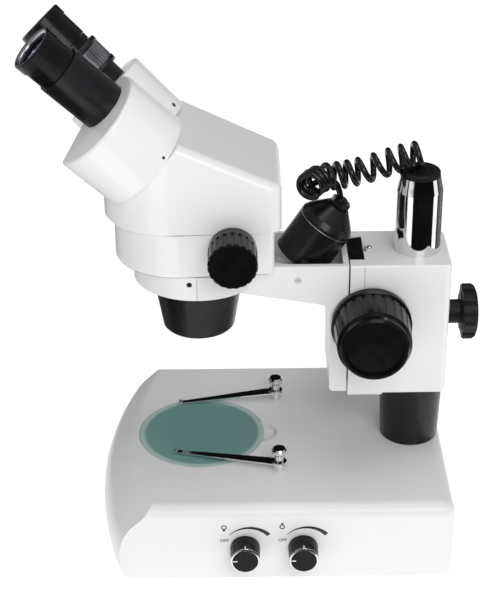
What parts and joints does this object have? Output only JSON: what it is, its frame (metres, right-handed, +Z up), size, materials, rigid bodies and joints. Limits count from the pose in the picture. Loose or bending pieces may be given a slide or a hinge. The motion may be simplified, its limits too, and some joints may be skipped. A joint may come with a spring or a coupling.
{
  "type": "stereo microscope",
  "caption": "Stereo zoom microscope on a pillar stand, with a lit base, a tilting upper lamp, rack focusing and a twin inclined eyepiece head.",
  "frame": {"origin": "on the table under the objective's axis, which is also the centre of the stage plate", "axes": "+Z up along the objective's axis and the pillar; +X from the stage to the pillar, away from the observer; +Y to the far side seen from the control knobs"},
  "size_m": [0.3207, 0.2175, 0.3902],
  "materials": {
    "enamel_white": "semi-gloss enamel",
    "black_plastic": "matte moulded plastic",
    "black_satin": "satin black anodised look",
    "chrome": "polished plate",
    "steel": "turned",
    "grey_metal": "knurled",
    "brass": "turned",
    "stage_glass": "frosted one side",
    "clear_glass": "polished",
    "rubber": "moulded",
    "cord_jacket": "flexible jacket",
    "board": "printed board"
  },
  "bodies": {
    "stand": {"base_shell": "enamel_white", "base_plate": "black_satin", "base_screws": "steel", "rubber_feet": "rubber", "stage_plate": "stage_glass", "clip_posts": "chrome", "dimmer_pots": "steel", "power_inlet": "black_plastic", "fuse_holder": "black_plastic", "lower_lamp_reflector": "chrome", "lower_lamp_bulb": "clear_glass", "lower_lamp_socket": "black_plastic", "transformer": "steel", "control_board": "board", "pillar_foot": "black_satin", "pillar": "chrome", "pillar_plug": "black_plastic", "curly_cord": "cord_jacket"},
    "lower_light_knob": {"lower_light_knob": "black_plastic"},
    "upper_light_knob": {"upper_light_knob": "black_plastic"},
    "near_stage_clip": {"near_stage_clip": "chrome"},
    "far_stage_clip": {"far_stage_clip": "chrome"},
    "focus_housing": {"focus_housing": "enamel_white", "shaft_bushes": "brass"},
    "pillar_clamp": {"clamp_screw": "steel", "clamp_knob": "black_plastic"},
    "focus_drive": {"focus_shaft": "steel", "near_focus_knob": "black_plastic", "far_focus_knob": "black_plastic"},
    "arm": {"arm_bracket": "enamel_white", "dovetail_slide": "black_satin", "focus_rack": "brass", "head_lock_screw": "steel", "lamp_pivot_screws": "black_satin"},
    "upper_lamp": {"lamp_housing": "black_satin", "lamp_cap": "black_satin", "lamp_gland": "black_plastic", "lamp_bulb": "clear_glass", "lamp_window": "clear_glass"},
    "head": {"head_base": "enamel_white", "guide_rods": "steel", "head_cover": "enamel_white", "objective_cone": "black_satin", "objective_lens": "clear_glass"},
    "zoom_drive": {"zoom_shaft": "steel", "near_zoom_knob": "black_plastic", "far_zoom_knob": "black_plastic"},
    "zoom_carriage": {"zoom_carriage": "grey_metal", "zoom_lenses": "clear_glass"},
    "near_drum": {"near_prism_housing": "enamel_white", "near_prism": "clear_glass", "near_tube": "black_satin"},
    "near_eyepiece": {"near_eyepiece": "black_plastic", "near_eye_lens": "clear_glass"},
    "far_drum": {"far_prism_housing": "enamel_white", "far_prism": "clear_glass", "far_tube": "black_satin"},
    "far_dioptre": {"far_dioptre_ring": "grey_metal"},
    "far_eyepiece": {"far_eyepiece": "black_plastic", "far_eye_lens": "clear_glass"}
  },
  "joints": [
    {"name": "lower_light_turn", "type": "hinge", "parent": "stand", "child": "lower_light_knob", "pos_m": [0.0317, -0.1, 0.0268], "axis": [0, 1, 0], "range_deg": [0, 270]},
    {"name": "upper_light_turn", "type": "hinge", "parent": "stand", "child": "upper_light_knob", "pos_m": [0.0733, -0.1, 0.0268], "axis": [0, 1, 0], "range_deg": [0, 270]},
    {"name": "near_clip_swing", "type": "hinge", "parent": "stand", "child": "near_stage_clip", "pos_m": [0.0575, -0.05, 0.066], "axis": [0, 0, 1], "range_deg": [-20, 120]},
    {"name": "far_clip_swing", "type": "hinge", "parent": "stand", "child": "far_stage_clip", "pos_m": [0.0575, 0.05, 0.066], "axis": [0, 0, -1], "range_deg": [-20, 120]},
    {"name": "housing_height", "type": "slide", "parent": "stand", "child": "focus_housing", "axis": [0, 0, 1], "range_m": [0, 0.04], "deforming": ["curly_cord"]},
    {"name": "clamp_turn", "type": "hinge", "parent": "focus_housing", "child": "pillar_clamp", "pos_m": [0.19, 0, 0.1635], "axis": [1, 0, 0], "range_deg": [0, 180]},
    {"name": "focus_slide", "type": "slide", "parent": "focus_housing", "child": "arm", "axis": [0, 0, 1], "range_m": [-0.025, 0.025], "deforming": ["curly_cord"]},
    {"name": "focus_turn", "type": "hinge", "parent": "focus_housing", "child": "focus_drive", "pos_m": [0.1235, 0, 0.1708], "axis": [0, 1, 0], "range_deg": [-299, 299]},
    {"name": "lamp_tilt", "type": "hinge", "parent": "arm", "child": "upper_lamp", "pos_m": [0.071, 0, 0.2052], "axis": [0, 1, 0], "range_deg": [-6, 0], "deforming": ["curly_cord"]},
    {"name": "head_turn", "type": "hinge", "parent": "arm", "child": "head", "pos_m": [0, 0, 0.21], "axis": [0, 0, 1], "range_deg": [-7, 7]},
    {"name": "zoom_turn", "type": "hinge", "parent": "head", "child": "zoom_drive", "pos_m": [0.025, 0, 0.239], "axis": [0, 1, 0], "range_deg": [-95, 95]},
    {"name": "zoom_carriage_slide", "type": "slide", "parent": "head", "child": "zoom_carriage", "axis": [0, 0, 1], "range_m": [-0.008, 0.008]},
    {"name": "near_drum_turn", "type": "hinge", "parent": "head", "child": "near_drum", "pos_m": [-0.067, -0.0223, 0.3261], "axis": [0.7002, 0.1271, -0.7026], "range_deg": [0, 49]},
    {"name": "far_drum_turn", "type": "hinge", "parent": "head", "child": "far_drum", "pos_m": [-0.067, 0.0223, 0.3261], "axis": [-0.7002, 0.1271, 0.7026], "range_deg": [0, 49]},
    {"name": "near_eyepiece_slide", "type": "slide", "parent": "near_drum", "child": "near_eyepiece", "axis": [-0.7002, -0.1271, 0.7026], "range_m": [0, 0.025]},
    {"name": "far_eyepiece_slide", "type": "slide", "parent": "far_drum", "child": "far_eyepiece", "axis": [-0.7002, 0.1271, 0.7026], "range_m": [-0.0025, 0.0025]},
    {"name": "dioptre_turn", "type": "hinge", "parent": "far_drum", "child": "far_dioptre", "pos_m": [-0.06061, 0.01774, 0.33329], "axis": [-0.7002, 0.1271, 0.7026], "range_deg": [-60, 60]}
  ],
  "couplings": [
    {"joint": "focus_turn", "follows": "focus_slide", "rad_per_m": 208.33},
    {"joint": "zoom_carriage_slide", "follows": "zoom_turn", "m_per_rad": 0.0048},
    {"joint": "far_drum_turn", "follows": "near_drum_turn", "ratio": 1},
    {"joint": "dioptre_turn", "follows": "far_eyepiece_slide", "rad_per_m": 418.88}
  ]
}
